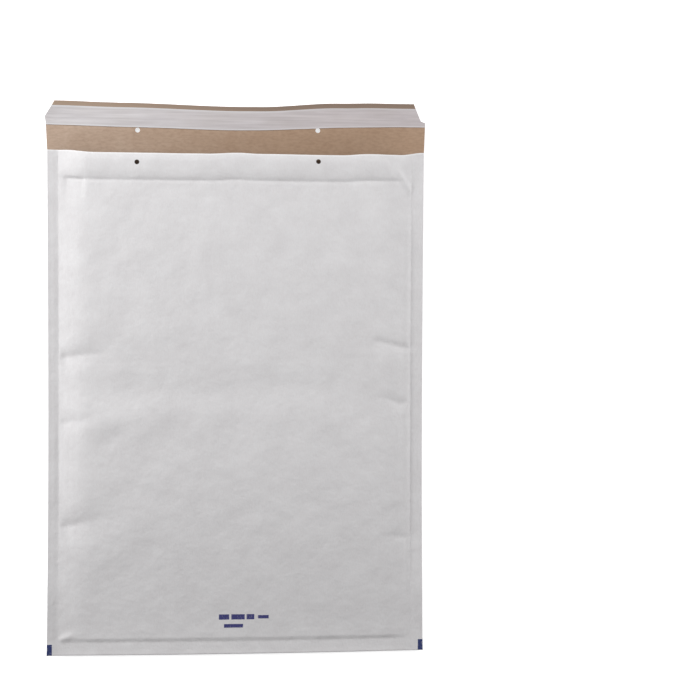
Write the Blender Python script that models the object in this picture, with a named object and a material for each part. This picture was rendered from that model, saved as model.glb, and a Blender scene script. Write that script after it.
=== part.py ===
"""Padded mailing envelope, empty, lying on its back with the flap open.

One sheet of paper, white outside and brown inside, is folded up at the bottom and sealed
down both sides. A pocket of bubble film lies inside it. The sheet's free end is the flap,
which carries a stripe of glue under a release liner. Two clasp holes go through the front
near the mouth, and two through the flap below the liner. Metres, +Z up, +Y from the bottom
to the flap.
"""

import math

import bmesh
import bpy

# The sheet of paper
ENVELOPE_WIDTH = 0.370
POCKET_LENGTH = 0.4885
FLAP_LENGTH = 0.0495
PAPER = 0.0003
SEAM_LEFT = 0.0105
SEAM_RIGHT = 0.0125
FOLD_LAND = 0.001

# The bubble film and the room that it leaves inside
BUBBLE_FILM = 0.0035
POCKET_ROOM = 0.006
BOTTOM_BAND = 0.0125
MOUTH_BAND = 0.026
LINING_SIDE_GAP = 0.002
CAVITY_SIDE = 0.012
CAVITY_ROUND = 0.026
CLEARANCE = 0.0003

# How the filled pocket lies: its seams are held off the floor between two bulged faces
SEAM_LIFT = 0.0050
CORNER_LIFT = 0.0022
FOLD_LIFT = 0.0020
CORNER_RUN = 0.070
FRONT_RISE = 0.042
BACK_RISE = 0.040
BOTTOM_STEP = 0.008
BOTTOM_RISE = 0.050
BAND_SHARE = 0.12
STEP_SHARE = 0.60
MOUTH_DROP = 0.0024
MOUTH_HUMP = 0.0011
MOUTH_STEP = 0.008
DRAW_IN_ENDS = 0.0008
DRAW_IN_MIDDLE = 0.0024
BOTTOM_BOW = 0.0011
WAVE_HEIGHT = 0.00045
WAVE_LENGTH = 0.150

# The flap
CHAMFER_LENGTH = 0.0185
CHAMFER_LEFT = 0.0080
CHAMFER_RIGHT = 0.0118
FLAP_ARCH = 0.0024
FLAP_BOW_LEFT = 0.0030
FLAP_BOW_RIGHT = 0.0053
FLAP_BOW_SHARE = 0.72
LINER_WIDTH = 0.0218
LINER_TO_END = 0.0042
LINER = 0.0003
GLUE_WIDTH = 0.0165
GLUE = 0.0003

# The clasp holes
CLASP_HOLE = 0.0046
CLASP_PITCH = 0.1755
CLASP_OFFSET = -0.0095
FRONT_HOLE_BELOW_MOUTH = 0.0105
FLAP_HOLE_BEFORE_LINER = 0.0028
HOLE_SIDES = 20

# Buckles at the sides: side, height above the fold, reach inwards, climb, depth
BUCKLES = (
    (-1, 0.2905, 0.034, 0.0120, 0.0012),
    (-1, 0.2250, 0.034, 0.0060, 0.0010),
    (-1, 0.1255, 0.038, 0.0180, 0.0013),
    (1, 0.2988, 0.040, 0.0090, 0.0010),
    (1, 0.2438, 0.030, 0.0060, 0.0009),
    (1, 0.1130, 0.028, -0.0032, 0.0009),
)
BUCKLE_WIDTH = 0.0050
BUCKLE_ROOM = 0.85
BUCKLE_ZONE = 0.038
PAD_END = 0.020

# How fine the faces are
WIDE_LINES = 0.030
CLOSE_LINES = 0.0058
LINE_GAP = 0.002

# Worked out from the sizes above
HALF = ENVELOPE_WIDTH / 2
SIDE_ZONE = HALF * 0.74
WHOLE_LENGTH = POCKET_LENGTH + FLAP_LENGTH
START_Y = -WHOLE_LENGTH / 2
PLATEAU = 2 * (PAPER + CLEARANCE + BUBBLE_FILM) + POCKET_ROOM
LINING_START = BOTTOM_BAND
LINING_END = POCKET_LENGTH - MOUTH_BAND
SEAM_IN_LEFT = -HALF + SEAM_LEFT
SEAM_IN_RIGHT = HALF - SEAM_RIGHT
LINER_START = FLAP_LENGTH - LINER_TO_END - LINER_WIDTH
GLUE_START = LINER_START + (LINER_WIDTH - GLUE_WIDTH) / 2


def eased(share):
    """A smooth step from 0 to 1."""
    share = min(max(share, 0.0), 1.0)
    return share * share * (3 - 2 * share)


def swelling(distance, reach, power=3):
    """How far a bulged face has risen at this distance from its edge."""
    share = min(max(distance / reach, 0.0), 1.0)
    return 1 - (1 - share) ** power


def from_seam(s):
    """Distance inwards from the nearer side seam, less than 0 on the seam."""
    return min(s - SEAM_IN_LEFT, SEAM_IN_RIGHT - s)


def plan(s, v):
    """Where the point of the flat sheet s across and v up from the fold lies in plan."""
    if v <= POCKET_LENGTH:
        share = math.sin(math.pi * v / POCKET_LENGTH)
        edge = HALF - DRAW_IN_ENDS - (DRAW_IN_MIDDLE - DRAW_IN_ENDS) * share
    else:
        cut = max(0.0, v - (WHOLE_LENGTH - CHAMFER_LENGTH)) / CHAMFER_LENGTH
        past_mouth = (v - POCKET_LENGTH) / FLAP_LENGTH
        edge = HALF - DRAW_IN_ENDS * (1 - eased(2 * past_mouth))
        edge -= cut * (CHAMFER_LEFT if s < 0 else CHAMFER_RIGHT)
    x = s
    if abs(s) > SIDE_ZONE:
        stretch = (edge - SIDE_ZONE) / (HALF - SIDE_ZONE)
        x = math.copysign(SIDE_ZONE + (abs(s) - SIDE_ZONE) * stretch, s)
    across = min(abs(s) / HALF, 1.0)
    y = START_Y + v - BOTTOM_BOW * (1 - across**2) * (1 - eased(v / CORNER_RUN))
    if v > POCKET_LENGTH:
        bow = FLAP_BOW_LEFT if s < 0 else FLAP_BOW_RIGHT
        corner = bow - max(FLAP_BOW_LEFT, FLAP_BOW_RIGHT)
        sag = corner - bow * (1 - eased(across / FLAP_BOW_SHARE))
        y += (v - POCKET_LENGTH) / FLAP_LENGTH * sag
    return x, y


def under_back(s, v):
    """Height of the back panel's and the flap's lower face."""
    lift = CORNER_LIFT + (SEAM_LIFT - CORNER_LIFT) * eased(v / CORNER_RUN)
    side = 1 - swelling(from_seam(s), BACK_RISE, 2)
    bottom = 1 - swelling(v - FOLD_LAND, BACK_RISE, 2)
    fold = min(FOLD_LIFT / lift, 1.0)
    level = lift * (1 - (1 - side) * (1 - fold * bottom))
    if v > POCKET_LENGTH:
        past_mouth = (v - POCKET_LENGTH) / FLAP_LENGTH
        level *= 1 - 0.6 * eased(past_mouth)
        level += FLAP_ARCH * math.sin(math.pi * past_mouth) ** 2 * (1 - side)
    return level


def over_back(s, v):
    """Height of the back panel's and the flap's upper face."""
    return under_back(s, v) + PAPER


def mouth_shape(v):
    """The dip where the lining ends and the low hump between it and the mouth."""
    from_mouth = POCKET_LENGTH - v
    dip = MOUTH_DROP * eased((MOUTH_BAND + MOUTH_STEP / 2 - from_mouth) / MOUTH_STEP)
    hump = MOUTH_HUMP * math.sin(math.pi * min(max(from_mouth / MOUTH_BAND, 0.0), 1.0)) ** 2
    return hump - dip


def buckled(s, v):
    """Depth of the creases that run in from the side seams."""
    depth = 0.0
    for side, start, reach, climb, deep in BUCKLES:
        inwards = SEAM_IN_RIGHT - s if side > 0 else s - SEAM_IN_LEFT
        along = inwards / reach
        if 0 < along < 1:
            off = (v - start - climb * along) / BUCKLE_WIDTH
            depth += deep * math.exp(-off * off) * eased(4 * along) * (1 - eased(along))
    return depth


def full_front(s, v):
    """Height of the front panel's upper face, without its buckles."""
    low = under_back(s, v) + 2 * PAPER
    side = swelling(from_seam(s), FRONT_RISE)
    band = BAND_SHARE * eased((v - FOLD_LAND) / BOTTOM_BAND)
    step = STEP_SHARE * eased((v - BOTTOM_BAND + FOLD_LAND) / BOTTOM_STEP)
    rest = 1 - BAND_SHARE - STEP_SHARE
    end = band + step + rest * swelling(v - BOTTOM_BAND, BOTTOM_RISE)
    wave = WAVE_HEIGHT * math.sin(2 * math.pi * (v + s / 4) / WAVE_LENGTH)
    top = PLATEAU + mouth_shape(v) + wave * eased(v / CORNER_RUN)
    return low + (top - low) * side * end


def over_front(s, v):
    """Height of the front panel's upper face."""
    return full_front(s, v) - buckled(s, v)


def under_front(s, v):
    """Height of the front panel's lower face, which meets the back panel in the seams."""
    if from_seam(s) <= 0 or v <= FOLD_LAND:
        return over_back(s, v)
    return over_front(s, v) - PAPER


def over_lining(s, v):
    """Height of the lining's upper outer face, clear of the deepest buckle."""
    depth = BUCKLE_ROOM * max(deep for *_, deep in BUCKLES)
    depth *= 1 - eased((from_seam(s) / BUCKLE_ZONE - 1 / 3) * 3 / 2)
    depth *= eased(5 * from_seam(s) / BUCKLE_ZONE)
    depth *= eased((v - LINING_START) / PAD_END - 1) * eased((LINING_END - v) / PAD_END - 1)
    return full_front(s, v) - PAPER - CLEARANCE - depth


def under_lining(s, v):
    """Height of the lining's lower outer face."""
    return over_back(s, v) + CLEARANCE


def lining_middle(s, v):
    """Height where the lining's two layers would meet."""
    return (over_lining(s, v) + under_lining(s, v)) / 2


def cavity_half(s, v):
    """Half the height of the empty space between the lining's layers."""
    side = swelling(from_seam(s) - CAVITY_SIDE, CAVITY_ROUND, 2)
    bottom = swelling(v - LINING_START - CAVITY_SIDE, CAVITY_ROUND, 2)
    most = (over_lining(s, v) - under_lining(s, v)) / 2 - BUBBLE_FILM
    return max(most, 0.0) * side * bottom


def over_cavity(s, v):
    """Height of the upper layer's inner face."""
    return lining_middle(s, v) + cavity_half(s, v)


def under_cavity(s, v):
    """Height of the lower layer's inner face."""
    return lining_middle(s, v) - cavity_half(s, v)


def spread(start, stop, steps):
    """Evenly spaced values from start up to, but not including, stop."""
    return [start + (stop - start) * i / steps for i in range(steps)]


def columns():
    """Lines up the sheet, close together where the faces curve up from the seams."""
    shares = (0.0, 0.07, 0.17, 0.32, 0.55, 0.8, 1.1)
    left = [SEAM_IN_LEFT + FRONT_RISE * share for share in shares]
    right = [SEAM_IN_RIGHT - FRONT_RISE * share for share in reversed(shares)]
    middle = spread(left[-1], right[0], 6)[1:]
    return [-HALF, *left, *middle, *right, HALF]


def filled_in(start, stop, spans):
    """Lines from start up to stop, close together in the spans and wide apart elsewhere."""
    edges = sorted({start, stop, *(v for span in spans for v in span if start < v < stop)})
    lines = []
    for low, high in zip(edges, edges[1:]):
        middle = (low + high) / 2
        close = any(span[0] < middle < span[1] for span in spans)
        steps = math.ceil((high - low) / (CLOSE_LINES if close else WIDE_LINES) - 0.1)
        lines += spread(low, high, max(steps, 1))
    return lines


def pocket_rows():
    """Lines across the pocket, close together at the steps and the buckles."""
    steps = (0.0, FOLD_LAND, BOTTOM_BAND * 0.5, BOTTOM_BAND - FOLD_LAND)
    rise = [BOTTOM_BAND + BOTTOM_STEP * share for share in (0.3, 0.7, 1.4, 2.6)]
    spans = []
    for _, start, _, climb, _ in BUCKLES:
        low, high = sorted((start, start + climb / 2))
        spans.append((low - BUCKLE_WIDTH * 1.5, high + BUCKLE_WIDTH * 1.5))
    shares = (-0.5, -0.1, 0.2, 0.5, 1.0)
    mouth = [LINING_END + MOUTH_STEP * share for share in shares]
    body = filled_in(rise[-1] + BOTTOM_STEP * 2, mouth[0] - MOUTH_STEP, spans)
    last = [POCKET_LENGTH - MOUTH_BAND * share for share in (0.35, 0.15, 0.0)]
    return [*steps, *rise, *body, mouth[0] - MOUTH_STEP, *mouth, *last]


def flap_rows():
    """Lines across the flap, from the mouth to its end, on the liner's and the glue's edges."""
    lines = {LINER_START * share for share in (0.0, 0.2, 0.5, 0.77, 1.0)}
    lines |= {GLUE_START, GLUE_START + GLUE_WIDTH * 0.6, GLUE_START + GLUE_WIDTH}
    lines |= {LINER_START + LINER_WIDTH, FLAP_LENGTH - CHAMFER_LENGTH, FLAP_LENGTH}
    return [POCKET_LENGTH + line for line in sorted(lines)]


def lay_grid(bm, across, along, height, material=0):
    """A sheet of faces over the lines across and along, at the heights of a function."""
    rows = []
    for v in along:
        rows.append([bm.verts.new((*plan(s, v), height(s, v))) for s in across])
    for low, high in zip(rows, rows[1:]):
        for i in range(len(across) - 1):
            face = bm.faces.new((low[i], low[i + 1], high[i + 1], high[i]))
            face.material_index = material


def raise_wall(bm, path, low, high):
    """A strip of faces along a path on the sheet, between two heights."""
    feet = [bm.verts.new((*plan(s, v), low(s, v))) for s, v in path]
    tops = [bm.verts.new((*plan(s, v), high(s, v))) for s, v in path]
    for i in range(len(path) - 1):
        bm.faces.new((feet[i], feet[i + 1], tops[i + 1], tops[i]))


def finish_object(name, bm, materials):
    """Weld the faces into one closed body and put it in the scene."""
    bmesh.ops.remove_doubles(bm, verts=bm.verts, dist=1e-6)
    bmesh.ops.dissolve_limit(
        bm, angle_limit=1e-4, verts=bm.verts, edges=bm.edges, delimit={"MATERIAL"}
    )
    bmesh.ops.triangulate(bm, faces=bm.faces)
    bmesh.ops.recalc_face_normals(bm, faces=bm.faces)
    if bm.calc_volume(signed=True) < 0:
        bmesh.ops.reverse_faces(bm, faces=bm.faces)
    mesh = bpy.data.meshes.new(name)
    bm.to_mesh(mesh)
    bm.free()
    for material in materials:
        mesh.materials.append(material)
    body = bpy.data.objects.new(name, mesh)
    bpy.context.scene.collection.objects.link(body)
    return body


def smooth(body, degrees=25):
    """Smooth shading with the steeper edges kept sharp."""
    body.data.shade_smooth()
    body.data.set_sharp_from_angle(angle=math.radians(degrees))


def make_finish(name, color, roughness):
    """A plain surface finish."""
    material = bpy.data.materials.new(name)
    material.use_nodes = True
    shader = material.node_tree.nodes["Principled BSDF"]
    shader.inputs["Base Color"].default_value = (*color, 1)
    shader.inputs["Roughness"].default_value = roughness
    shader.inputs["Metallic"].default_value = 0
    return material


def cut(body, cutter):
    """Take a hidden cutter out of a body."""
    cutter.hide_render = True
    cutter.display_type = "WIRE"
    tool = body.modifiers.new(cutter.name, "BOOLEAN")
    tool.operation = "DIFFERENCE"
    tool.solver = "EXACT"
    tool.object = cutter


def clasp_punch(name, s, v, height):
    """A round punch through one thickness of paper, at a point of the sheet."""
    bm = bmesh.new()
    bmesh.ops.create_cone(
        bm,
        cap_ends=True,
        segments=HOLE_SIDES,
        radius1=CLASP_HOLE / 2,
        radius2=CLASP_HOLE / 2,
        depth=CLASP_HOLE,
    )
    punch = finish_object(name, bm, ())
    punch.location = (*plan(s, v), height)
    return punch


def make_cover(outside, inside):
    """The paper: back panel and flap in one, front panel, sealed side seams, bottom fold."""
    bm = bmesh.new()
    across = columns()
    open_across = across[1:-1]
    pocket = pocket_rows()
    flap = flap_rows()
    lay_grid(bm, across, pocket, over_front)
    lay_grid(bm, across, pocket + flap[1:], under_back)
    lay_grid(bm, open_across, pocket[1:], under_front, 1)
    lay_grid(bm, open_across, pocket[1:], over_back, 1)
    lay_grid(bm, across, flap, over_back, 1)
    for s in (-HALF, HALF):
        raise_wall(bm, [(s, v) for v in pocket + flap[1:]], under_back, over_back)
        raise_wall(bm, [(s, v) for v in pocket], over_back, over_front)
    raise_wall(bm, [(s, 0.0) for s in across], under_back, over_back)
    raise_wall(bm, [(s, 0.0) for s in across], over_back, over_front)
    raise_wall(bm, [(s, POCKET_LENGTH) for s in across], under_front, over_front)
    raise_wall(bm, [(s, WHOLE_LENGTH) for s in across], under_back, over_back)
    return finish_object("paper_cover", bm, (outside, inside))


def make_lining(film):
    """The bubble film: a pocket of two layers, closed at the bottom and down both sides."""
    bm = bmesh.new()
    left = SEAM_IN_LEFT + LINING_SIDE_GAP
    right = SEAM_IN_RIGHT - LINING_SIDE_GAP
    cavity_left = SEAM_IN_LEFT + CAVITY_SIDE
    cavity_right = SEAM_IN_RIGHT - CAVITY_SIDE
    cavity_start = LINING_START + CAVITY_SIDE
    lines = [s for s in columns() if left + LINE_GAP < s < right - LINE_GAP]
    lines = [s for s in lines if min(abs(s - cavity_left), abs(s - cavity_right)) > LINE_GAP]
    across = sorted([left, *lines, cavity_left, cavity_right, right])
    open_across = [s for s in across if cavity_left <= s <= cavity_right]
    rows = [v for v in pocket_rows() if LINING_START + LINE_GAP < v < LINING_END - LINE_GAP / 4]
    rows = [v for v in rows if abs(v - cavity_start) > LINE_GAP]
    along = sorted([LINING_START + FOLD_LAND, cavity_start, *rows, LINING_END])
    open_along = [v for v in along if v >= cavity_start]
    lay_grid(bm, across, along, over_lining)
    lay_grid(bm, across, along, under_lining)
    lay_grid(bm, open_across, open_along, over_cavity)
    lay_grid(bm, open_across, open_along, under_cavity)
    edges = [[(s, v) for v in along] for s in (left, right)]
    edges.append([(s, along[0]) for s in across])
    for path in edges:
        raise_wall(bm, path, under_lining, lining_middle)
        raise_wall(bm, path, lining_middle, over_lining)
    mouth = [(s, LINING_END) for s in across]
    raise_wall(bm, mouth, under_lining, under_cavity)
    raise_wall(bm, mouth, over_cavity, over_lining)
    return finish_object("bubble_lining", bm, (film,))


def make_strip(name, start, width, floor, thickness, material):
    """A strip that lies on the flap from edge to edge."""
    first = POCKET_LENGTH + start
    along = [v for v in flap_rows() if first - 1e-6 <= v <= first + width + 1e-6]
    across = columns()

    def low(s, v):
        return over_back(s, v) + floor

    def high(s, v):
        return low(s, v) + thickness

    bm = bmesh.new()
    lay_grid(bm, across, along, low)
    lay_grid(bm, across, along, high)
    for s in (-HALF, HALF):
        raise_wall(bm, [(s, v) for v in along], low, high)
    for v in (along[0], along[-1]):
        raise_wall(bm, [(s, v) for s in across], low, high)
    return finish_object(name, bm, (material,))


def build():
    """The whole envelope."""
    for old in list(bpy.data.objects):
        bpy.data.objects.remove(old)
    white = make_finish("white_paper", (0.74, 0.73, 0.73), 0.62)
    brown = make_finish("brown_paper", (0.42, 0.28, 0.19), 0.70)
    film = make_finish("bubble_film", (0.78, 0.80, 0.82), 0.28)
    glue = make_finish("glue", (0.80, 0.76, 0.62), 0.35)
    silicone = make_finish("liner_paper", (0.60, 0.58, 0.57), 0.45)
    cover = make_cover(white, brown)
    lining = make_lining(film)
    stripe = make_strip("adhesive_strip", GLUE_START, GLUE_WIDTH, CLEARANCE, GLUE, glue)
    liner_floor = 2 * CLEARANCE + GLUE
    liner = make_strip("release_liner", LINER_START, LINER_WIDTH, liner_floor, LINER, silicone)
    for side in (-1, 1):
        s = CLASP_OFFSET + side * CLASP_PITCH / 2
        front = POCKET_LENGTH - FRONT_HOLE_BELOW_MOUTH
        flap = POCKET_LENGTH + LINER_START - FLAP_HOLE_BEFORE_LINER
        punch = clasp_punch("front_punch", s, front, over_front(s, front))
        cut(cover, punch)
        punch = clasp_punch("flap_punch", s, flap, over_back(s, flap))
        cut(cover, punch)
    for body in (cover, lining, stripe, liner):
        smooth(body)


build()
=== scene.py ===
import math

import bpy
import numpy as np
from mathutils import Matrix, Vector


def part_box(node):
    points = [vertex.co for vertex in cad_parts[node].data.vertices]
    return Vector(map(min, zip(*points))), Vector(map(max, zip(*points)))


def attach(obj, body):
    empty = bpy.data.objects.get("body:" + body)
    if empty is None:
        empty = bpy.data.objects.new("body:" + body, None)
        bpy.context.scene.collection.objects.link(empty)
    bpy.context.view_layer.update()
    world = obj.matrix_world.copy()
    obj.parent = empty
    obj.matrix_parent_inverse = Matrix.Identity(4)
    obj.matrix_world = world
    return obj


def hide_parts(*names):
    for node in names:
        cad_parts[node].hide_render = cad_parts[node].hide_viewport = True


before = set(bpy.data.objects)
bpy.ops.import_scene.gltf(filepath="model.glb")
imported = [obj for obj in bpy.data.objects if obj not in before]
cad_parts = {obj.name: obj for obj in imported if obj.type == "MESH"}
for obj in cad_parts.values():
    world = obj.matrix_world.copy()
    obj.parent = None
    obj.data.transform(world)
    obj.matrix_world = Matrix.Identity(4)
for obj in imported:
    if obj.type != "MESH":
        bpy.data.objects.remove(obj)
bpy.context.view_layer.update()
scene = bpy.context.scene
scene.view_settings.view_transform = "Standard"


# The paper cover: one sheet of white-topped brown paper. It is folded up at the bottom, its
# two long sides are sealed between hot jaws, and its free end is left as the flap. The
# bubble film inside makes both faces swell, so the seams stand a little off the table.
cover_low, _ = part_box("paper_cover")
flat_width = 0.370
half_width = flat_width / 2
pocket_length = 0.4885
flap_length = 0.0495
whole_length = pocket_length + flap_length
fold_y = -whole_length / 2
paper = 0.00028
two_sheets = 0.0006
seam_left = 0.0105
seam_right = 0.0125
left_seam_in = -half_width + seam_left
right_seam_in = half_width - seam_right
fold_land = 0.001
bottom_band = 0.0125
mouth_band = 0.026
lining_end = pocket_length - mouth_band
plateau = 0.0142
seam_lift = 0.0050
seam_round = 0.040
corner_lift = 0.0022
corner_run = 0.070
fold_lift = 0.0020


def eased(share):
    """From 0 to 1 with a soft start and a soft stop."""
    share = np.clip(share, 0.0, 1.0)
    return share * share * (3 - 2 * share)


def swelling(distance, reach, power=3):
    """From 0 at an edge to 1 where its reach ends: steep at first, then level."""
    return 1 - (1 - np.clip(distance / reach, 0.0, 1.0)) ** power


def from_seam(s):
    return np.minimum(s - left_seam_in, right_seam_in - s)


def flap_share(v):
    return np.clip((v - pocket_length) / flap_length, 0.0, 1.0)


def wavy(s, places):
    """A soft line through a few places, each given as (s, how far off)."""
    line = np.full(np.shape(s), places[0][1])
    for (start, low), (stop, high) in zip(places, places[1:]):
        line = line + (high - low) * eased((s - start) / (stop - start))
    return line


# How far the front panel's lip and the flap's end stand off their straight lines.
lip_places = (
    (-0.170, 0.0),
    (-0.138, -0.0024),
    (-0.030, -0.0026),
    (0.002, -0.0014),
    (0.022, -0.0022),
    (0.100, -0.0026),
    (0.128, -0.0011),
    (0.160, -0.0010),
    (0.184, 0.0016),
)
end_places = (
    (-0.172, -0.0013),
    (-0.110, -0.0022),
    (0.000, -0.0046),
    (0.020, -0.0044),
    (0.100, 0.0002),
    (0.135, 0.0009),
    (0.175, 0.0005),
)


# The flap's side edges: distance from its end, and how far the edge is cut in or stands out.
# Below the flap, the swollen pad draws both edges in, and the fold sags a little at its middle.
left_cut = ((0.0, 0.0083), (0.0160, -0.0009), (0.0230, 0.0002), (flap_length, 0.0018))
right_cut = ((0.0, 0.0115), (0.0172, 0.0046), (0.0184, 0.0003), (flap_length, 0.0018))
side_zone = half_width * 0.74
drawn_in_ends = 0.0018
drawn_in_middle = 0.0016
fold_sag = 0.0011


def plan(s, v):
    """Where the flat sheet's point, s across and v up from the fold, lies seen from above."""
    drawn_in = np.sin(np.pi * np.clip(v / pocket_length, 0.0, 1.0) ** 0.75)
    drawn_in = drawn_in_ends + drawn_in_middle * drawn_in
    from_end = whole_length - v
    left = np.where(v > pocket_length, np.interp(from_end, *zip(*left_cut)), drawn_in)
    right = np.where(v > pocket_length, np.interp(from_end, *zip(*right_cut)), drawn_in)
    edge = half_width - np.where(s < 0, left, right)
    stretch = (edge - side_zone) / (half_width - side_zone)
    outer = np.copysign(side_zone + (np.abs(s) - side_zone) * stretch, s)
    x = np.where(np.abs(s) > side_zone, outer, s)
    from_middle = np.minimum(np.abs(s) / half_width, 1.0)
    y = fold_y + v - fold_sag * (1 - from_middle**2) * (1 - eased(v / corner_run))
    return x, y + flap_share(v) * wavy(s, end_places)


# The lip's slack starts this far up and grows over this run.
lip_slack = 0.380
lip_slack_run = 0.075


def front_plan(s, v):
    """The same for the front panel, whose lip isn't quite straight."""
    x, y = plan(s, v)
    return x, y + wavy(s, lip_places) * eased((v - lip_slack) / lip_slack_run)


# The flap settles towards the table and arches over its own middle. Its last strip curls up,
# and so does the left seam's edge.
flap_arch = 0.0024
flap_settle = 0.6
end_curl = 0.0009
end_curl_run = 0.009
left_seam_curl = 0.0018


def under_back(s, v):
    """Height of the white face that lies on the table, and of the flap's white face."""
    lift = corner_lift + (seam_lift - corner_lift) * eased(v / corner_run)
    side = 1 - swelling(from_seam(s), seam_round, 2)
    bottom = 1 - swelling(v - fold_land, seam_round, 2)
    level = lift * (1 - (1 - side) * (1 - np.minimum(fold_lift / lift, 1.0) * bottom))
    level = level + left_seam_curl * np.clip((left_seam_in - s) / seam_left, 0.0, 1.0)
    share = flap_share(v)
    arch = flap_arch * np.sin(np.pi * share) ** 2 * (1 - side)
    curl = end_curl * np.clip((v - whole_length + end_curl_run) / end_curl_run, 0.0, 1.0) ** 2
    return level * (1 - flap_settle * eased(share)) + arch + curl


# Folds in the front panel: start and end on the flat sheet in metres, height (less than 0
# for a buckle), width above and below at the start, how many times wider it is at its end,
# and how quickly it starts and fades along its run. The sharp ones that open more than twice
# as wide are buckles, with a steep bottom; the others are rounded.
folds = (
    (-0.1745, 0.2875, -0.108, 0.2950, -0.00320, 0.0052, 0.0100, 2.4, 0.12, 0.75),
    (-0.1745, 0.2250, -0.128, 0.2300, -0.00120, 0.0034, 0.0060, 2.2, 0.12, 0.65),
    (-0.1735, 0.1240, -0.114, 0.1350, -0.00280, 0.0052, 0.0100, 2.4, 0.14, 0.75),
    (0.1705, 0.2975, 0.128, 0.306, -0.00170, 0.0020, 0.0036, 2.6, 0.08, 0.30),
    (0.1690, 0.2425, 0.118, 0.254, -0.00150, 0.0029, 0.0060, 2.8, 0.08, 0.75),
    (0.1690, 0.1125, 0.140, 0.114, -0.00090, 0.0016, 0.0035, 3.0, 0.06, 0.50),
    (0.1690, 0.1480, 0.125, 0.153, 0.00030, 0.0060, 0.0060, 1.0, 0.20, 0.80),
    (-0.1720, 0.2180, -0.010, 0.243, 0.00140, 0.0140, 0.0130, 1.3, 0.25, 0.70),
    (-0.1700, 0.0930, -0.005, 0.1620, 0.00100, 0.0150, 0.0300, 1.2, 0.20, 0.70),
    (-0.1500, 0.3180, 0.000, 0.310, 0.00090, 0.0200, 0.0140, 1.0, 0.40, 0.60),
    (-0.1780, 0.2550, 0.150, 0.2580, -0.00110, 0.0165, 0.0150, 1.0, 0.08, 0.35),
    (0.1650, 0.2000, 0.020, 0.255, 0.00060, 0.0180, 0.0180, 1.0, 0.30, 0.60),
    (-0.1695, 0.4614, -0.146, 0.4616, -0.00150, 0.0013, 0.0160, 1.0, 0.12, 0.20),
    (0.1530, 0.4785, 0.1745, 0.4475, 0.00170, 0.0030, 0.0024, 1.0, 0.20, 0.20),
    (-0.1735, 0.0145, -0.155, 0.0210, 0.00110, 0.0026, 0.0026, 1.4, 0.15, 0.50),
    (-0.1655, 0.0400, -0.1660, 0.452, 0.00012, 0.0014, 0.0014, 1.0, 0.10, 0.10),
    (-0.1600, 0.0600, -0.1590, 0.440, 0.00010, 0.0016, 0.0016, 1.0, 0.20, 0.20),
    (-0.1530, 0.1300, -0.1540, 0.450, 0.00010, 0.0018, 0.0018, 1.0, 0.20, 0.30),
    (0.1680, 0.0400, 0.1684, 0.450, 0.00085, 0.0020, 0.0014, 1.0, 0.10, 0.10),
)
buckle_bend = 1.3
round_bend = 2.0


def folded(s, v):
    """Height of all the folds together."""
    height = np.zeros(np.broadcast(s, v).shape)
    for s0, v0, s1, v1, tall, above, below, spread, start, fade in folds:
        run = math.hypot(s1 - s0, v1 - v0)
        bend = buckle_bend if spread > 2 else round_bend
        along = ((s - s0) * (s1 - s0) + (v - v0) * (v1 - v0)) / run**2
        off = ((v - v0) * (s1 - s0) - (s - s0) * (v1 - v0)) / run
        off = off * math.copysign(1.0, s1 - s0)
        wide = np.where(off > 0, above, below) * (1 + (spread - 1) * np.clip(along, 0.0, 1.0))
        ends = eased(along / start) * eased((1 - along) / fade)
        height += tall * np.exp(-(np.abs(off / wide) ** bend)) * ends
    return height


# The waves of the paper, each with its direction, its length and where it starts.
draw = np.random.default_rng(11)
wave_count = 34
wave_slope = 0.024
ripples = [
    (draw.uniform(0, math.pi), draw.uniform(0.014, 0.055), draw.uniform(0, 2 * math.pi))
    for _ in range(wave_count)
]


def cockle(s, v):
    """The faint, uneven waves of paper that has taken up some damp."""
    height = np.zeros(np.broadcast(s, v).shape)
    for turn, length, phase in ripples:
        place = (s * math.cos(turn) + v * math.sin(turn)) / length
        height += length * np.sin(2 * math.pi * place + phase)
    return height * wave_slope / (2 * math.pi) / math.sqrt(wave_count / 2)


# The sealing jaws' fine marks along the seams: place, and depth (less than 0 for a ridge).
jaw_marks = (
    (-0.1820, 0.00005),
    (-0.1795, -0.00006),
    (-0.1765, 0.00008),
    (0.1705, -0.00008),
    (0.1727, 0.00026),
    (0.1740, 0.00012),
    (0.1768, -0.00012),
    (0.1790, 0.00008),
    (0.1818, -0.00014),
)
jaw_mark_width = 0.0006


def jaw_lines(s):
    depth = np.zeros(np.shape(s))
    for groove, deep in jaw_marks:
        depth += deep * np.exp(-(((s - groove) / jaw_mark_width) ** 2))
    return depth


# How the pad swells between its edges. From the bottom fold it climbs over the flat band, a
# small step and then a long slope, which is longer and rounder to the right. The shares of
# the three make 1. Under the mouth it falls, humps up in the band past the film's end, which
# is cut off aslant at the right corner, and droops at the lip.
left_swell = 0.034
left_swell_power = 2.2
right_swell = 0.040
band_share = 0.05
step_share = 0.096
step_before_band = 0.0013
step_run = 0.0056
slope_run = 0.172
slope_run_skew = 0.12
slope_power = 1.5
slope_power_skew = 2.0
mouth_fall = 0.0026
mouth_fall_run = 0.110
mouth_hump = 0.0026
hump_corner = 0.1643
hump_corner_slant = 0.69
hump_corner_run = 0.010
lip_droop = 0.0024
lip_run = 0.009
film_end_crease = 0.0003
film_end_place = 0.0005
film_end_width = 0.0018
bottom_ridge = 0.00016
bottom_ridge_place = 0.0215
bottom_ridge_width = 0.0020
fold_fade = 0.003
deepest_fold = 0.8


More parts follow.
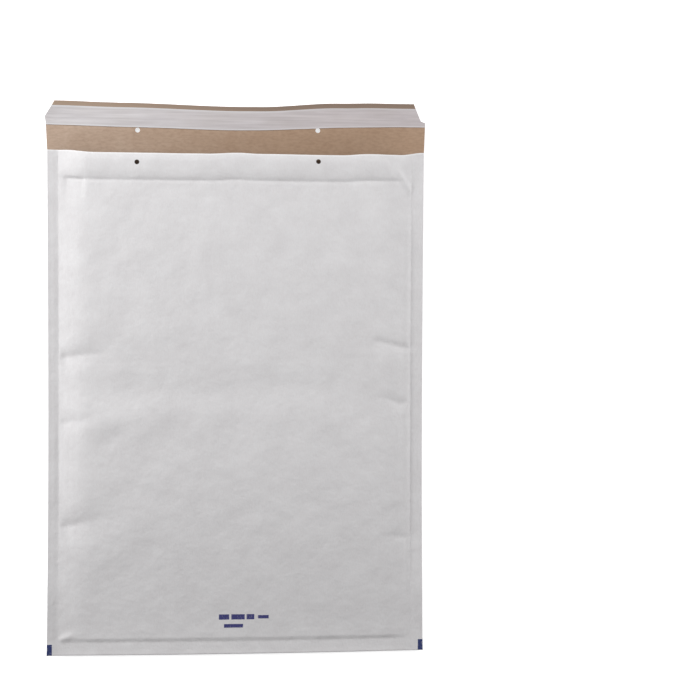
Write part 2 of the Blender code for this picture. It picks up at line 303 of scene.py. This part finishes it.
def over_front(s, v, plain=False):
    """Height of the front panel's white face, without its waves and jaw lines if plain."""
    low = under_back(s, v) + two_sheets
    side = swelling(s - left_seam_in, left_swell, left_swell_power)
    side = side * swelling(right_seam_in - s, right_swell)
    band = band_share * eased((v - fold_land) / bottom_band)
    step = step_share * eased((v - bottom_band + step_before_band) / step_run)
    slope = slope_run + slope_run_skew * s
    slope = swelling(v - bottom_band, slope, slope_power + slope_power_skew * s)
    end = band + step + (1 - band_share - step_share) * slope
    from_mouth = pocket_length - v
    fall = mouth_fall * (1 - np.clip((from_mouth - mouth_band) / mouth_fall_run, 0.0, 1.0)) ** 2
    climb = np.clip((from_mouth - lip_run) / (mouth_band - lip_run), 0.0, 1.0)
    corner = hump_corner - hump_corner_slant * (v - lining_end)
    climb = mouth_hump * (1 - climb**3) * eased((corner - s) / hump_corner_run)
    droop = lip_droop * np.clip(1 - from_mouth / lip_run, 0.0, 1.0) ** 2
    crease = (from_mouth - mouth_band - film_end_place) / film_end_width
    ridge = (v - bottom_ridge_place) / bottom_ridge_width
    crease = film_end_crease * np.exp(-(crease**2)) - bottom_ridge * np.exp(-(ridge**2))
    rise = (plateau - fall + climb - droop - crease - low) * side * end
    bends = folded(s, v) * eased(from_seam(s) / fold_fade)
    height = low + rise + np.maximum(bends, -deepest_fold * rise)
    if plain:
        return height
    return height + cockle(s, v) * side * end - jaw_lines(s)


def lines(*runs):
    """Lines from run to run, each run given as (where it starts, spacing), then the end."""
    places = []
    for (start, spacing), (stop, _) in zip(runs, runs[1:]):
        count = max(1, round((stop - start) / spacing))
        places += list(np.linspace(start, stop, count, endpoint=False))
    return np.array(places + [runs[-1][0]])


def two_skins(name, outside, inside, materials):
    """A closed thin body from two grids of points of the same shape, one for each side."""
    rows, columns = outside.shape[:2]
    size = rows * columns
    points = np.concatenate([outside.reshape(-1, 3), inside.reshape(-1, 3)])
    index = np.arange(size).reshape(rows, columns)
    low = index[:-1, :-1].ravel()
    quads = np.stack([low, low + 1, low + columns + 1, low + columns], 1)
    ring = np.concatenate([index[0], index[1:, -1], index[-1, -2::-1], index[-2:0:-1, 0]])
    after = np.roll(ring, -1)
    rim = np.stack([after, ring, ring + size, after + size], 1)
    faces = np.concatenate([quads, quads[:, ::-1] + size, rim])
    mesh = bpy.data.meshes.new(name)
    mesh.from_pydata(points.tolist(), [], faces.tolist())
    kinds = [0] * len(quads) + [len(materials) - 1] * (len(quads) + len(rim))
    mesh.polygons.foreach_set("material_index", kinds)
    for material in materials:
        mesh.materials.append(material)
    mesh.shade_smooth()
    mesh.set_sharp_from_angle(angle=math.radians(50))
    piece = bpy.data.objects.new(name, mesh)
    scene.collection.objects.link(piece)
    return piece


def marked(piece, name, shares):
    """A share at each point of a body made by two_skins, the same on both its sides."""
    mark = piece.data.attributes.new(name, "FLOAT", "POINT")
    mark.data.foreach_set("value", np.tile(shares.ravel(), 2))


def new_material(name, roughness, specular):
    """A material with its shader, and a node maker for it."""
    material = bpy.data.materials.new(name)
    material.use_nodes = True
    tree = material.node_tree
    shader = tree.nodes["Principled BSDF"]
    shader.inputs["Roughness"].default_value = roughness
    shader.inputs["Specular IOR Level"].default_value = specular
    place = tree.nodes.new("ShaderNodeTexCoord").outputs["Object"]
    return material, tree, shader, place


def grain(tree, place, scale, stretch=(1, 1, 1), detail=4, rough=0.55):
    """A noise over the piece, with more lines to the metre for a larger scale."""
    mapping = tree.nodes.new("ShaderNodeMapping")
    mapping.inputs["Scale"].default_value = stretch
    tree.links.new(place, mapping.inputs["Vector"])
    noise = tree.nodes.new("ShaderNodeTexNoise")
    noise.inputs["Scale"].default_value = scale
    noise.inputs["Detail"].default_value = detail
    noise.inputs["Roughness"].default_value = rough
    tree.links.new(mapping.outputs["Vector"], noise.inputs["Vector"])
    return noise.outputs["Fac"]


def mark_of(tree, name):
    """The share that marked() gave the points."""
    node = tree.nodes.new("ShaderNodeAttribute")
    node.attribute_name = name
    return node.outputs["Fac"]


def axes_of(tree, vector):
    """The X, Y and Z of a vector."""
    node = tree.nodes.new("ShaderNodeSeparateXYZ")
    tree.links.new(vector, node.inputs[0])
    return node.outputs


def figure(tree, kind, first, second):
    """One step of arithmetic between sockets or numbers."""
    node = tree.nodes.new("ShaderNodeMath")
    node.operation = kind
    for socket, value in zip(node.inputs, (first, second)):
        if isinstance(value, (int, float)):
            socket.default_value = value
        else:
            tree.links.new(value, socket)
    return node.outputs[0]


def ramp(tree, factor, low, high, dark, light):
    """Colours from dark to light while the factor goes from low to high."""
    node = tree.nodes.new("ShaderNodeValToRGB")
    node.color_ramp.elements[0].position = low
    node.color_ramp.elements[0].color = (*dark, 1)
    node.color_ramp.elements[1].position = high
    node.color_ramp.elements[1].color = (*light, 1)
    tree.links.new(factor, node.inputs["Fac"])
    return node.outputs["Color"]


def mixed(tree, factor, first, second, kind="MIX"):
    """Two colours mixed by a factor."""
    node = tree.nodes.new("ShaderNodeMix")
    node.data_type = "RGBA"
    node.blend_type = kind
    sockets = (node.inputs[0], node.inputs[6], node.inputs[7])
    for socket, value in zip(sockets, (factor, first, second)):
        if isinstance(value, (int, float)):
            socket.default_value = value
        elif isinstance(value, tuple):
            socket.default_value = (*value, 1)
        else:
            tree.links.new(value, socket)
    return node.outputs[2]


def painted_side_light(tree, place, color, low, high, left, right):
    """The colour times painted light, stronger at the left where the lamps stand, that fades to
    the right over the envelope's width.
    """
    along = figure(tree, "DIVIDE", axes_of(tree, place)["X"], flat_width)
    along = figure(tree, "ADD", along, 0.5)
    return mixed(tree, 1.0, color, ramp(tree, along, low, high, left, right), "MULTIPLY")


def bumped(tree, shader, height, distance, strength=1.0):
    """Fine relief on the shader: its height in units of the distance, in metres."""
    node = tree.nodes.new("ShaderNodeBump")
    node.inputs["Strength"].default_value = strength
    node.inputs["Distance"].default_value = distance
    tree.links.new(height, node.inputs["Height"])
    tree.links.new(node.outputs["Normal"], shader.inputs["Normal"])


# The printed marks: one block at each bottom corner and two rows of plain bars near the
# bottom. Each is given as middle x, middle up from the fold, width and height.
ink = (0.022, 0.034, 0.125)
bar_ink = (0.045, 0.045, 0.165)
corner_marks = (
    (-0.1808, 0.0052, 0.0052, 0.0106),
    (0.1808, 0.0052, 0.0052, 0.0106),
)
bars = (
    (-0.0125, 0.0352, 0.0100, 0.0052),
    (0.0012, 0.0352, 0.0130, 0.0052),
    (0.0132, 0.0352, 0.0075, 0.0052),
    (0.0258, 0.0350, 0.0105, 0.0034),
    (-0.0032, 0.0264, 0.0186, 0.0036),
)


def block(tree, parts, middle_x, middle_y, width, height):
    """1 inside a printed block and 0 outside."""
    sides = []
    for part, middle, size in ((parts[0], middle_x, width), (parts[1], middle_y, height)):
        off = figure(tree, "ABSOLUTE", figure(tree, "SUBTRACT", part, middle), 0.0)
        sides.append(figure(tree, "LESS_THAN", off, size / 2))
    return figure(tree, "MULTIPLY", *sides)


def printed(tree, parts, up, blocks):
    """1 in any of the blocks on the faces that look up."""
    total = 0.0
    for middle_x, up_from_fold, width, height in blocks:
        inside = block(tree, parts, middle_x, fold_y + up_from_fold, width, height)
        total = figure(tree, "ADD", total, inside)
    return figure(tree, "MULTIPLY", total, up)


# Colours from dark to light. Where the print is worn, the fibres show through it. A paler
# line along the lip is a painted highlight.
full = (1.0, 1.0, 1.0)
white_cloud = ((0.738, 0.723, 0.733), (0.812, 0.802, 0.812))
white_fibre = ((0.975, 0.968, 0.965), full)
worn_print = ((0.72, 0.72, 0.72), full)
lip_highlight_color = (0.93, 0.925, 0.93)


def make_white_paper():
    """Bleached top ply over brown: matt, faintly cloudy, with fine fibres."""
    material, tree, shader, place = new_material("white_paper", 0.58, 0.35)
    cloud = grain(tree, place, 42, detail=6, rough=0.68)
    fibre = grain(tree, place, 800, (1, 0.35, 1), detail=3)
    base = ramp(tree, cloud, 0.28, 0.74, *white_cloud)
    color = mixed(tree, 1.0, base, ramp(tree, fibre, 0.34, 0.62, *white_fibre), "MULTIPLY")
    parts = axes_of(tree, place)
    facing = tree.nodes.new("ShaderNodeNewGeometry").outputs["True Normal"]
    up = figure(tree, "GREATER_THAN", axes_of(tree, facing)["Z"], 0.5)
    corners = printed(tree, parts, up, corner_marks)
    rows = printed(tree, parts, up, bars)
    worn = ramp(tree, fibre, 0.30, 0.42, *worn_print)
    color = mixed(tree, figure(tree, "MULTIPLY", corners, worn), color, ink)
    color = mixed(tree, figure(tree, "MULTIPLY", rows, worn), color, bar_ink)
    # A paler line along the lip: a painted highlight where the lip's edge catches the light.
    color = mixed(tree, mark_of(tree, "painted_lip_highlight"), color, lip_highlight_color)
    tree.links.new(color, shader.inputs["Base Color"])
    pucker = figure(tree, "MULTIPLY", grain(tree, place, 95, detail=3, rough=0.5), 34.0)
    tooth = grain(tree, place, 230, (1, 0.8, 1), detail=2, rough=0.5)
    tooth = figure(tree, "MULTIPLY", tooth, 7.0)
    relief = figure(tree, "ADD", fibre, figure(tree, "ADD", pucker, tooth))
    bumped(tree, shader, relief, 0.00003, 0.7)
    return material


# The inner ply, its end strip painted darker as shade, their painted light from the left, and the
# painted shade that starts a few millimetres inside the pocket's lip.
brown_cloud = ((0.420, 0.288, 0.200), (0.472, 0.336, 0.242))
brown_fibre = ((0.90, 0.885, 0.87), (1.03, 1.03, 1.03))
brown_painted_light = ((1.13, 1.20, 1.30), (0.94, 0.91, 0.88))
end_brown_painted_shade = (0.285, 0.220, 0.176)
end_painted_light = ((1.30, 1.18, 1.02), (1.04, 1.02, 1.01))
pocket_painted_shade = (full, (0.16, 0.14, 0.13))
lip_shade_from = 0.003
lip_shade_run = 0.004


def make_brown_paper():
    """Unbleached inner ply: warm brown, with long fibres and darker flecks."""
    material, tree, shader, place = new_material("brown_paper", 0.66, 0.30)
    cloud = grain(tree, place, 38, detail=6, rough=0.65)
    fibre = grain(tree, place, 500, (0.45, 1, 1), detail=4)
    base = ramp(tree, cloud, 0.28, 0.72, *brown_cloud)
    color = mixed(tree, 1.0, base, ramp(tree, fibre, 0.32, 0.60, *brown_fibre), "MULTIPLY")
    # The end strip past the liner is painted darker as shade of the flap's curled end, with the
    # same painted light from the left.
    end = painted_side_light(tree, place, end_brown_painted_shade, 0.05, 0.62, *end_painted_light)
    color = mixed(tree, mark_of(tree, "end_strip"), color, end)
    # Painted light: the brown is paler and cooler at the left, where the lamps stand, and darker
    # to the right.
    color = painted_side_light(tree, place, color, 0.05, 0.62, *brown_painted_light)
    # Painted shade: the brown inside the pocket darkens from a few millimetres past the lip
    # inwards, so the clasp holes look dark.
    shade_y = fold_y + pocket_length - lip_shade_from
    inside = figure(tree, "SUBTRACT", shade_y, axes_of(tree, place)["Y"])
    inside = figure(tree, "DIVIDE", inside, lip_shade_run)
    color = mixed(tree, 1.0, color, ramp(tree, inside, 0.0, 1.0, *pocket_painted_shade), "MULTIPLY")
    tree.links.new(color, shader.inputs["Base Color"])
    bumped(tree, shader, fibre, 0.00003, 0.6)
    return material


# The sheet's points, closer together at the seams, the folds and the mouth.
across = lines(
    (-half_width, 0.0007),
    (left_seam_in + 0.002, 0.0021),
    (left_seam_in + 0.044, 0.0048),
    (right_seam_in - 0.044, 0.0021),
    (right_seam_in - 0.002, 0.0007),
    (half_width, 0),
)
up_pocket = lines(
    (0.0, 0.0009),
    (0.030, 0.0034),
    (0.100, 0.0020),
    (0.155, 0.0034),
    (0.215, 0.0020),
    (0.310, 0.0036),
    (lining_end - 0.012, 0.0010),
    (lining_end + 0.008, 0.0020),
    (pocket_length - 0.008, 0.0010),
    (pocket_length, 0),
)
up_back = lines((0.0, 0.0020), (0.050, 0.0080), (lining_end - 0.020, 0.0040), (pocket_length, 0))
up_flap = lines(
    (pocket_length, 0.0014),
    (whole_length - 0.0184, 0.0006),
    (whole_length - 0.0172, 0.0012),
    (whole_length - 0.0160, 0.0014),
    (whole_length, 0),
)
sheet_s, front_v = np.meshgrid(across, up_pocket[::-1])
front_x, front_y = front_plan(sheet_s, front_v)
front_top = over_front(sheet_s, front_v)
back_s, back_v = np.meshgrid(across, np.concatenate([up_back, up_flap[1:]]))
back_x, back_y = plan(back_s, back_v)
back_low = under_back(back_s, back_v)
fold_s, fold_v = across[None, :], np.zeros((1, len(across)))
bend_x, bend_y = plan(fold_s, fold_v)
bend_z = under_back(fold_s, fold_v) + two_sheets / 2
white_side = np.concatenate([
    np.stack([front_x, front_y, front_top], 2),
    np.stack([bend_x, bend_y - paper, bend_z], 2),
    np.stack([back_x, back_y, back_low], 2),
])
brown_side = np.concatenate([
    np.stack([front_x, front_y, front_top - paper], 2),
    np.stack([bend_x, bend_y - paper / 8, bend_z], 2),
    np.stack([back_x, back_y, back_low + paper], 2),
])
white_side = white_side[:, ::-1]
brown_side = brown_side[:, ::-1]
plies = [make_white_paper(), make_brown_paper()]
cover = two_skins("paper_sheet", white_side, brown_side, plies)

# Where the end strip past the liner, painted darker as shade, and the lip's painted highlight lie
# on the sheet.
end_strip_width = 0.0052
end_strip_edge = 0.0008
rim_width = 0.0015
rim_edge = 0.0010
sheet_v = np.concatenate([front_v, fold_v, back_v])
past_strip = np.clip((sheet_v - whole_length + end_strip_width) / end_strip_edge, 0.0, 1.0)
# The painted highlight along the front panel's lip.
painted_lip_highlight = np.clip((sheet_v - pocket_length + rim_width) / rim_edge, 0.0, 1.0)
painted_lip_highlight[len(front_v):] = 0.0
marked(cover, "end_strip", past_strip[:, ::-1])
marked(cover, "painted_lip_highlight", painted_lip_highlight[:, ::-1])

# The four clasp holes: place across, place up from the mouth, on the front panel or the flap.
clasp_hole = 0.0046
punch_length = 0.005
clasp_holes = (
    (-0.0970, -0.0093, True),
    (0.0785, -0.0067, True),
    (-0.0970, 0.0216, False),
    (0.0785, 0.0229, False),
)
for middle, past_mouth, front in clasp_holes:
    spot = (np.array(middle), np.array(pocket_length + past_mouth))
    x, y = front_plan(*spot) if front else plan(*spot)
    height = over_front(*spot) if front else under_back(*spot)
    where = (float(x), float(y), float(height))
    bpy.ops.mesh.primitive_cylinder_add(
        vertices=40, radius=clasp_hole / 2, depth=punch_length, location=where
    )
    punch = bpy.context.object
    tool = cover.modifiers.new("punch", "BOOLEAN")
    tool.operation = "DIFFERENCE"
    tool.solver = "MANIFOLD"
    tool.object = punch
    bpy.context.view_layer.objects.active = cover
    bpy.ops.object.modifier_apply(modifier=tool.name)
    bpy.data.objects.remove(punch)
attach(cover, "root")
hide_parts("paper_cover")


# The bubble lining: clear film with air bubbles, folded into a pocket with its bubbles
# inwards, held in the side seams. Each layer is flat film with blown bubbles welded on.
film = 0.00012
bubble_radius = 0.0050
bubble_height = 0.0031
bubble_pitch = 0.0115
first_row_in = 0.009
first_bubble_in = 0.007
film_border = 0.006
bubble_sides = 10
bubble_rings = ((1.00, 0.0), (0.95, 0.62), (0.62, 0.95))
lining_left = left_seam_in + 0.002
lining_right = right_seam_in - 0.002
lining_start = bottom_band + 0.001
least_bubble = 0.0004
bubble_gap = 0.0003
film_grid = (0.0045, 0.005)
under_paper = 0.0008
over_back = 0.0003
least_pocket = 0.00056


def over_lining(s, v):
    """Height of the upper film, which keeps below the lowest paper around it."""
    aside, along = film_grid
    around = [(a * aside, b * along) for a in (-1, 0, 1) for b in (-1, 0, 1)]
    lowest = np.min([over_front(s + a, v + b, plain=True) for a, b in around], axis=0)
    return np.maximum(lowest - under_paper, under_back(s, v) + least_pocket)


def under_lining(s, v):
    """Height of the lower film, on the back panel's brown face."""
    return under_back(s, v) + over_back


def bubble_layer(name, base, inwards, material):
    """One layer of the lining, with its bubbles on the side that looks into the pocket."""
    aside, along = film_grid
    s, v = np.meshgrid(
        lines((lining_left, aside), (lining_right, 0)),
        lines((lining_start, along), (lining_end, 0)),
    )
    x, y = plan(s, v)
    near = np.stack([x, y, base(s, v)], 2)
    far = np.stack([x, y, base(s, v) + inwards * film], 2)
    if inwards > 0:
        near, far = far, near
    layer = two_skins(name, near, far, [material])
    row_step = bubble_pitch * math.sqrt(3) / 2
    rows = np.arange(lining_start + first_row_in, lining_end - film_border, row_step)
    turns = np.arange(bubble_sides) * 2 * math.pi / bubble_sides
    centres = []
    for number, row in enumerate(rows):
        first = lining_left + first_bubble_in + (number % 2) * bubble_pitch / 2
        places = np.arange(first, lining_right - film_border, bubble_pitch)
        centres += [(middle, row) for middle in places]
    centres = np.array(centres)
    room = over_lining(*centres.T) - under_lining(*centres.T)
    height = np.minimum(bubble_height, room / 2 - bubble_gap)
    points = []
    faces = []
    n = bubble_sides
    blown_up = height > least_bubble
    for (middle, row), tall in zip(centres[blown_up], height[blown_up]):
        start = len(points)
        for radius, share in bubble_rings:
            reach = bubble_radius * radius
            for turn in turns:
                round_s = middle + reach * math.cos(turn)
                round_v = row + reach * math.sin(turn)
                points.append((round_s, round_v, tall * share))
        points.append((middle, row, tall))
        faces.append([start + i for i in range(n)][::-1])
        for ring in range(len(bubble_rings) - 1):
            for i in range(n):
                j = (i + 1) % n
                a = start + ring * n
                b = a + n
                faces.append([a + i, a + j, b + j, b + i])
        last = start + (len(bubble_rings) - 1) * n
        faces += [[last + i, last + (i + 1) % n, start + len(bubble_rings) * n] for i in range(n)]
    spots = np.array(points)
    bx, by = plan(spots[:, 0], spots[:, 1])
    bz = base(spots[:, 0], spots[:, 1]) + inwards * (spots[:, 2] + film / 2)
    if inwards < 0:
        faces = [face[::-1] for face in faces]
    mesh = bpy.data.meshes.new(name + "_bubbles")
    mesh.from_pydata(np.stack([bx, by, bz], 1).tolist(), [], faces)
    mesh.shade_smooth()
    mesh.materials.append(material)
    blown = bpy.data.objects.new(name + "_bubbles", mesh)
    scene.collection.objects.link(blown)
    with bpy.context.temp_override(active_object=layer, selected_editable_objects=[layer, blown]):
        bpy.ops.object.join()
    return layer


film_streak = ((0.80, 0.82, 0.84), (0.88, 0.90, 0.92))


def make_film():
    """Clear soft film, slightly milky, with fine drawn streaks."""
    material, tree, shader, place = new_material("bubble_film", 0.22, 0.5)
    shader.inputs["Transmission Weight"].default_value = 0.55
    shader.inputs["IOR"].default_value = 1.45
    streak = grain(tree, place, 60, (1, 0.1, 1), detail=3)
    color = ramp(tree, streak, 0.3, 0.7, *film_streak)
    tree.links.new(color, shader.inputs["Base Color"])
    bumped(tree, shader, streak, 0.0001, 0.5)
    return material


clear_film = make_film()
upper = bubble_layer("upper_bubble_film", over_lining, -1, clear_film)
lower = bubble_layer("lower_bubble_film", under_lining, 1, clear_film)
for layer in (upper, lower):
    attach(layer, "root")
    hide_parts("bubble_lining")


# The glue: a stripe of soft hot-melt, laid on the flap in one pass from edge to edge. It
# stays tacky under its liner, and only its two cut ends show.
glue_thick = 0.0003
glue_lift = 0.00004
glue_inset = 0.0026
strip_end = flap_length - 0.0047
strip_start = 0.0235
strip_rows = 22
start_places = (
    (-0.175, 0.0017),
    (-0.084, 0.0009),
    (-0.010, 0.0003),
    (0.063, 0.0012),
    (0.120, 0.0023),
    (0.165, 0.0031),
)


def flap_strip(name, inset, floor, thick, material, ripple=0.0):
    """A strip that lies along the flap, with its ends following the flap's cut sides."""
    s, share = np.meshgrid(across, np.linspace(0, 1, strip_rows))
    start = strip_start + inset + wavy(s, start_places)
    v = pocket_length + start + (strip_end - inset - start) * share
    x, y = plan(s, v)
    lie = under_back(s, v) + floor + ripple * np.sin(s * 190 + 2.0) * np.sin(s * 71)
    over = np.stack([x, y, lie + thick], 2)
    under = np.stack([x, y, lie], 2)
    strip = two_skins(name, over, under, [material])
    marked(strip, "margin", np.abs(share - 0.5) * 2)
    return strip


glue_rib = ((0.72, 0.66, 0.47), (0.82, 0.77, 0.60))


def make_glue():
    """Yellowish clear hot-melt, glossy, with the ribs of the nozzle."""
    material, tree, shader, place = new_material("glue", 0.30, 0.5)
    rib = grain(tree, place, 300, (0.05, 1, 1), detail=2)
    color = ramp(tree, rib, 0.3, 0.7, *glue_rib)
    tree.links.new(color, shader.inputs["Base Color"])
    bumped(tree, shader, rib, 0.0001, 0.6)
    return material


glue = flap_strip("glue_stripe", glue_inset, paper + glue_lift, glue_thick, make_glue())
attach(glue, "root")
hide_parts("adhesive_strip")


# The release liner: a strip of siliconed paper pressed over the glue and cut off with the
# flap. It is a little wider than the stripe and peels off in one pull.
liner_thick = 0.00012
liner_ripple = 0.00006
liner_streak = ((0.520, 0.494, 0.496), (0.660, 0.636, 0.638))
liner_cloud = ((0.95, 0.94, 0.93), (1.02, 1.02, 1.03))
liner_painted_light = ((1.01, 1.01, 1.02), (0.935, 0.895, 0.900))
liner_edge_highlight = (0.72, 0.715, 0.72)


def make_liner():
    """Pale grey paper with a silicone finish, streaked along its length."""
    material, tree, shader, place = new_material("liner_paper", 0.42, 0.45)
    streak = grain(tree, place, 420, (0.035, 1, 1), detail=4)
    cloud = grain(tree, place, 70, (0.4, 1, 1), detail=4)
    base = ramp(tree, streak, 0.30, 0.70, *liner_streak)
    color = mixed(tree, 1.0, base, ramp(tree, cloud, 0.30, 0.70, *liner_cloud), "MULTIPLY")
    # Painted highlight: the liner's long edges are lighter.
    edge = ramp(tree, mark_of(tree, "margin"), 0.78, 0.94, (0.0, 0.0, 0.0), full)
    color = mixed(tree, figure(tree, "MULTIPLY", edge, 0.8), color, liner_edge_highlight)
    # Painted light: the liner is paler at the left, where the lamps stand, and darker to the
    # right.
    color = painted_side_light(tree, place, color, 0.10, 0.75, *liner_painted_light)
    tree.links.new(color, shader.inputs["Base Color"])
    bumped(tree, shader, streak, 0.00004, 0.6)
    return material


liner_floor = paper + glue_thick + 0.0001
liner = flap_strip("liner_strip", 0.0, liner_floor, liner_thick, make_liner(), liner_ripple)
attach(liner, "root")
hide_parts("release_liner")


# The table under the envelope: a plain pale sheet that keeps its soft shadow. It glows up to
# white for whoever looks at it, a little less close to the envelope.
table_size = 3.0
table_gap = 0.0002
table_color = (0.86, 0.86, 0.86, 1)
glow_reach = (0.25, 0.75)
glow_level = (0.68, 0.85)


def seen_directly(tree):
    """1 where it is looked at, also through film or in a gloss, and 0 where it lights."""
    rays = tree.nodes.new("ShaderNodeLightPath").outputs
    seen = figure(tree, "MAXIMUM", rays["Is Camera Ray"], rays["Is Glossy Ray"])
    return figure(tree, "MAXIMUM", seen, rays["Is Transmission Ray"])


bpy.ops.mesh.primitive_plane_add(size=table_size, location=(0, 0, cover_low.z - table_gap))
table = bpy.context.object
table.name = "table"
material, tree, shader, place = new_material("table", 0.9, 0.2)
shader.inputs["Base Color"].default_value = table_color
glow = tree.nodes.new("ShaderNodeEmission")
glow.inputs["Color"].default_value = (1, 1, 1, 1)
away = tree.nodes.new("ShaderNodeVectorMath")
away.operation = "LENGTH"
tree.links.new(place, away.inputs[0])
level = tree.nodes.new("ShaderNodeMapRange")
level.inputs["From Min"].default_value, level.inputs["From Max"].default_value = glow_reach
level.inputs["To Min"].default_value, level.inputs["To Max"].default_value = glow_level
tree.links.new(away.outputs["Value"], level.inputs["Value"])
shine = figure(tree, "MULTIPLY", seen_directly(tree), level.outputs["Result"])
tree.links.new(shine, glow.inputs["Strength"])
both = tree.nodes.new("ShaderNodeAddShader")
tree.links.new(shader.outputs["BSDF"], both.inputs[0])
tree.links.new(glow.outputs["Emission"], both.inputs[1])
tree.links.new(both.outputs["Shader"], tree.nodes["Material Output"].inputs["Surface"])
table.data.materials.append(material)


# Light: one soft box beyond the flap and to the left, a low one at each side, and an even
# pale room, which looks white.
room_level = 0.19


def soft_box(name, place, toward, size, power):
    lamp = bpy.data.lights.new(name, "AREA")
    lamp.shape = "RECTANGLE"
    lamp.size, lamp.size_y = size
    lamp.energy = power
    holder = bpy.data.objects.new(name, lamp)
    holder.location = place
    holder.rotation_euler = (Vector(toward) - Vector(place)).to_track_quat("-Z", "Y").to_euler()
    scene.collection.objects.link(holder)


soft_box("key", (-0.60, 0.92, 0.72), (0, 0.05, 0), (0.7, 0.5), 6.8)
soft_box("left", (-1.19, 0.20, 0.50), (0, 0, 0), (0.9, 0.5), 9.7)
soft_box("right", (1.28, 0.33, 0.60), (0, 0.05, 0), (0.8, 0.5), 10.5)
world = bpy.data.worlds.new("room")
scene.world = world
world.use_nodes = True
tree = world.node_tree
sky = tree.nodes["Background"]
sky.inputs["Color"].default_value = (1, 1, 1, 1)
room_light = figure(tree, "MAXIMUM", seen_directly(tree), room_level)
tree.links.new(room_light, sky.inputs["Strength"])


# The camera hangs over the envelope, a little left of its middle and turned by a few degrees
# about the envelope's length.
camera_place = Vector((-0.0215, 0.02675, 1.4992))
camera_turn = math.radians(5.044)
camera_roll = math.radians(0.0946)
back = Vector((-math.sin(camera_turn), 0, math.cos(camera_turn)))
right = Vector((0, 1, 0)).cross(back).normalized()
top = back.cross(right)
rolled_right = right * math.cos(camera_roll) + top * math.sin(camera_roll)
rolled_top = top * math.cos(camera_roll) - right * math.sin(camera_roll)
view = bpy.data.cameras.new("view")
view.sensor_width = 36
view.lens = 78.56
camera = bpy.data.objects.new("view", view)
camera.matrix_world = Matrix.Translation(camera_place) @ Matrix(
    (rolled_right, rolled_top, back)
).transposed().to_4x4()
scene.collection.objects.link(camera)
scene.camera = camera
